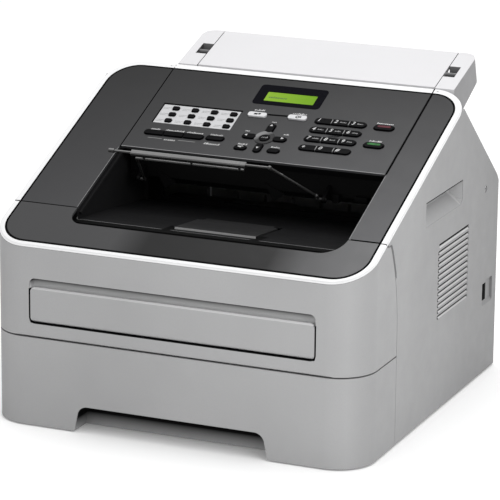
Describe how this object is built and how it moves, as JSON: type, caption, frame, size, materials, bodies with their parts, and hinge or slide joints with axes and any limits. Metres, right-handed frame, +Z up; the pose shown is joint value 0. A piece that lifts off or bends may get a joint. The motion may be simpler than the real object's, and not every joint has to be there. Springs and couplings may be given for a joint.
{
  "type": "fax machine",
  "caption": "Laser fax machine with a sloped control panel, front paper tray, document feeder behind and an open output well in the top.",
  "frame": {"origin": "on the floor, under the middle of the body", "axes": "+X right seen from the front, +Y towards the rear wall, +Z up"},
  "size_m": [0.368, 0.36, 0.3114],
  "materials": {
    "grey_shell": "light grey textured moulding",
    "white_trim": "satin white",
    "white_feeder": "satin white",
    "dark_panel": "satin dark grey",
    "black_plastic": "matt black",
    "frame_plastic": "matt dark grey",
    "silver_key": "silver painted",
    "rubber": "matt",
    "steel": "rolled",
    "circuit_board": "satin",
    "red_key": "satin",
    "green_key": "satin",
    "key_plastic": "satin black",
    "lcd_glass": "gloss black bezel round a green display"
  },
  "bodies": {
    "body": {"base_frame": "frame_plastic", "side_cover_right": "grey_shell", "side_cover_left": "grey_shell", "rear_cover": "grey_shell", "top_cover": "dark_panel", "top_rim": "white_trim", "scanner_unit": "black_plastic", "rubber_feet": "rubber", "laser_unit": "frame_plastic", "drum_unit": "black_plastic", "toner_cartridge": "black_plastic", "fuser_unit": "frame_plastic", "main_board": "circuit_board", "power_supply": "circuit_board", "ac_inlet": "black_plastic", "phone_jacks": "black_plastic", "document_tray": "white_feeder"},
    "rear_door": {"rear_door": "grey_shell"},
    "paper_tray": {"paper_tray": "grey_shell"},
    "lift_plate": {"lift_plate": "steel"},
    "pickup_roller": {"pickup_roller": "rubber"},
    "front_cover": {"front_cover": "grey_shell", "front_strip": "dark_panel", "front_rim": "white_trim"},
    "manual_feed_cover": {"manual_feed_cover": "grey_shell"},
    "control_panel": {"control_panel": "dark_panel", "panel_rim": "white_trim", "lcd_module": "lcd_glass"},
    "document_flap": {"document_flap": "white_feeder"},
    "document_guide_left": {"document_guide_left": "dark_panel"},
    "document_guide_right": {"document_guide_right": "dark_panel"},
    "output_flap": {"output_flap": "dark_panel"},
    "document_bail": {"document_bail": "black_plastic"},
    "adf_roller": {"adf_roller": "rubber"},
    "one_touch_keys": {"one_touch_keys": "key_plastic"},
    "function_keys": {"function_keys": "key_plastic"},
    "options_key": {"options_key": "key_plastic"},
    "fax_mode_key": {"fax_mode_key": "silver_key"},
    "copy_mode_key": {"copy_mode_key": "silver_key"},
    "arrow_up_key": {"arrow_up_key": "key_plastic"},
    "arrow_down_key": {"arrow_down_key": "key_plastic"},
    "arrow_left_key": {"arrow_left_key": "key_plastic"},
    "arrow_right_key": {"arrow_right_key": "key_plastic"},
    "ok_key": {"ok_key": "key_plastic"},
    "clear_key": {"clear_key": "key_plastic"},
    "menu_key": {"menu_key": "key_plastic"},
    "stop_key": {"stop_key": "red_key"},
    "start_key": {"start_key": "green_key"},
    "dial_key_1": {"dial_key_1": "key_plastic"},
    "dial_key_2": {"dial_key_2": "key_plastic"},
    "dial_key_3": {"dial_key_3": "key_plastic"},
    "dial_key_4": {"dial_key_4": "key_plastic"},
    "dial_key_5": {"dial_key_5": "key_plastic"},
    "dial_key_6": {"dial_key_6": "key_plastic"},
    "dial_key_7": {"dial_key_7": "key_plastic"},
    "dial_key_8": {"dial_key_8": "key_plastic"},
    "dial_key_9": {"dial_key_9": "key_plastic"},
    "dial_key_star": {"dial_key_star": "key_plastic"},
    "dial_key_0": {"dial_key_0": "key_plastic"},
    "dial_key_hash": {"dial_key_hash": "key_plastic"}
  },
  "joints": [
    {"name": "tray_slide", "type": "slide", "parent": "body", "child": "paper_tray", "axis": [0, -1, 0], "range_m": [0, 0.25]},
    {"name": "lift_plate_hinge", "type": "hinge", "parent": "paper_tray", "child": "lift_plate", "pos_m": [0, 0.06, 0.012], "axis": [-1, 0, 0], "range_deg": [0, 9]},
    {"name": "pickup_spin", "type": "hinge", "parent": "body", "child": "pickup_roller", "pos_m": [0, -0.106, 0.073], "axis": [1, 0, 0], "continuous": true},
    {"name": "front_cover_hinge", "type": "hinge", "parent": "body", "child": "front_cover", "pos_m": [0, -0.1755, 0.09], "axis": [1, 0, 0], "range_deg": [0, 88]},
    {"name": "manual_feed_hinge", "type": "hinge", "parent": "front_cover", "child": "manual_feed_cover", "pos_m": [0, -0.1764, 0.1032], "axis": [1, 0, 0], "range_deg": [0, 88]},
    {"name": "rear_door_hinge", "type": "hinge", "parent": "body", "child": "rear_door", "pos_m": [0, 0.1764, 0.099], "axis": [-1, 0, 0], "range_deg": [0, 85]},
    {"name": "control_panel_hinge", "type": "hinge", "parent": "body", "child": "control_panel", "pos_m": [0, 0.0886, 0.2864], "axis": [-1, 0, 0], "range_deg": [0, 45]},
    {"name": "document_flap_hinge", "type": "hinge", "parent": "body", "child": "document_flap", "pos_m": [0, 0.124, 0.297], "axis": [-1, 0, 0], "range_deg": [0, 100]},
    {"name": "guide_left_slide", "type": "slide", "parent": "body", "child": "document_guide_left", "axis": [-1, 0, 0], "range_m": [-0.02, 0.024]},
    {"name": "guide_right_slide", "type": "slide", "parent": "body", "child": "document_guide_right", "axis": [1, 0, 0], "range_m": [-0.02, 0.024]},
    {"name": "output_flap_hinge", "type": "hinge", "parent": "body", "child": "output_flap", "pos_m": [0, -0.1115, 0.1822], "axis": [1, 0, 0], "range_deg": [0, 120]},
    {"name": "document_bail_hinge", "type": "hinge", "parent": "body", "child": "document_bail", "pos_m": [0, -0.034, 0.205], "axis": [1, 0, 0], "range_deg": [0, 45]},
    {"name": "adf_roller_spin", "type": "hinge", "parent": "body", "child": "adf_roller", "pos_m": [0, 0.04045, 0.24473], "axis": [1, 0, 0], "continuous": true},
    {"name": "one_touch_keys_press", "type": "slide", "parent": "control_panel", "child": "one_touch_keys", "axis": [0, 0.3973, -0.9177], "range_m": [0, 0.0008], "stiffness_N_per_m": 300},
    {"name": "function_keys_press", "type": "slide", "parent": "control_panel", "child": "function_keys", "axis": [0, 0.3973, -0.9177], "range_m": [0, 0.0008], "stiffness_N_per_m": 300},
    {"name": "options_key_press", "type": "slide", "parent": "control_panel", "child": "options_key", "axis": [0, 0.3973, -0.9177], "range_m": [0, 0.0008], "stiffness_N_per_m": 300},
    {"name": "fax_mode_key_press", "type": "slide", "parent": "control_panel", "child": "fax_mode_key", "axis": [0, 0.3973, -0.9177], "range_m": [0, 0.0008], "stiffness_N_per_m": 300},
    {"name": "copy_mode_key_press", "type": "slide", "parent": "control_panel", "child": "copy_mode_key", "axis": [0, 0.3973, -0.9177], "range_m": [0, 0.0008], "stiffness_N_per_m": 300},
    {"name": "arrow_up_key_press", "type": "slide", "parent": "control_panel", "child": "arrow_up_key", "axis": [0, 0.3973, -0.9177], "range_m": [0, 0.0008], "stiffness_N_per_m": 300},
    {"name": "arrow_down_key_press", "type": "slide", "parent": "control_panel", "child": "arrow_down_key", "axis": [0, 0.3973, -0.9177], "range_m": [0, 0.0008], "stiffness_N_per_m": 300},
    {"name": "arrow_left_key_press", "type": "slide", "parent": "control_panel", "child": "arrow_left_key", "axis": [0, 0.3973, -0.9177], "range_m": [0, 0.0008], "stiffness_N_per_m": 300},
    {"name": "arrow_right_key_press", "type": "slide", "parent": "control_panel", "child": "arrow_right_key", "axis": [0, 0.3973, -0.9177], "range_m": [0, 0.0008], "stiffness_N_per_m": 300},
    {"name": "ok_key_press", "type": "slide", "parent": "control_panel", "child": "ok_key", "axis": [0, 0.3973, -0.9177], "range_m": [0, 0.0008], "stiffness_N_per_m": 300},
    {"name": "clear_key_press", "type": "slide", "parent": "control_panel", "child": "clear_key", "axis": [0, 0.3973, -0.9177], "range_m": [0, 0.0008], "stiffness_N_per_m": 300},
    {"name": "menu_key_press", "type": "slide", "parent": "control_panel", "child": "menu_key", "axis": [0, 0.3973, -0.9177], "range_m": [0, 0.0008], "stiffness_N_per_m": 300},
    {"name": "stop_key_press", "type": "slide", "parent": "control_panel", "child": "stop_key", "axis": [0, 0.3973, -0.9177], "range_m": [0, 0.0008], "stiffness_N_per_m": 300},
    {"name": "start_key_press", "type": "slide", "parent": "control_panel", "child": "start_key", "axis": [0, 0.3973, -0.9177], "range_m": [0, 0.0008], "stiffness_N_per_m": 300},
    {"name": "dial_key_1_press", "type": "slide", "parent": "control_panel", "child": "dial_key_1", "axis": [0, 0.3973, -0.9177], "range_m": [0, 0.0008], "stiffness_N_per_m": 300},
    {"name": "dial_key_2_press", "type": "slide", "parent": "control_panel", "child": "dial_key_2", "axis": [0, 0.3973, -0.9177], "range_m": [0, 0.0008], "stiffness_N_per_m": 300},
    {"name": "dial_key_3_press", "type": "slide", "parent": "control_panel", "child": "dial_key_3", "axis": [0, 0.3973, -0.9177], "range_m": [0, 0.0008], "stiffness_N_per_m": 300},
    {"name": "dial_key_4_press", "type": "slide", "parent": "control_panel", "child": "dial_key_4", "axis": [0, 0.3973, -0.9177], "range_m": [0, 0.0008], "stiffness_N_per_m": 300},
    {"name": "dial_key_5_press", "type": "slide", "parent": "control_panel", "child": "dial_key_5", "axis": [0, 0.3973, -0.9177], "range_m": [0, 0.0008], "stiffness_N_per_m": 300},
    {"name": "dial_key_6_press", "type": "slide", "parent": "control_panel", "child": "dial_key_6", "axis": [0, 0.3973, -0.9177], "range_m": [0, 0.0008], "stiffness_N_per_m": 300},
    {"name": "dial_key_7_press", "type": "slide", "parent": "control_panel", "child": "dial_key_7", "axis": [0, 0.3973, -0.9177], "range_m": [0, 0.0008], "stiffness_N_per_m": 300},
    {"name": "dial_key_8_press", "type": "slide", "parent": "control_panel", "child": "dial_key_8", "axis": [0, 0.3973, -0.9177], "range_m": [0, 0.0008], "stiffness_N_per_m": 300},
    {"name": "dial_key_9_press", "type": "slide", "parent": "control_panel", "child": "dial_key_9", "axis": [0, 0.3973, -0.9177], "range_m": [0, 0.0008], "stiffness_N_per_m": 300},
    {"name": "dial_key_star_press", "type": "slide", "parent": "control_panel", "child": "dial_key_star", "axis": [0, 0.3973, -0.9177], "range_m": [0, 0.0008], "stiffness_N_per_m": 300},
    {"name": "dial_key_0_press", "type": "slide", "parent": "control_panel", "child": "dial_key_0", "axis": [0, 0.3973, -0.9177], "range_m": [0, 0.0008], "stiffness_N_per_m": 300},
    {"name": "dial_key_hash_press", "type": "slide", "parent": "control_panel", "child": "dial_key_hash", "axis": [0, 0.3973, -0.9177], "range_m": [0, 0.0008], "stiffness_N_per_m": 300}
  ],
  "couplings": [
    {"joint": "guide_right_slide", "follows": "guide_left_slide", "ratio": 1}
  ]
}
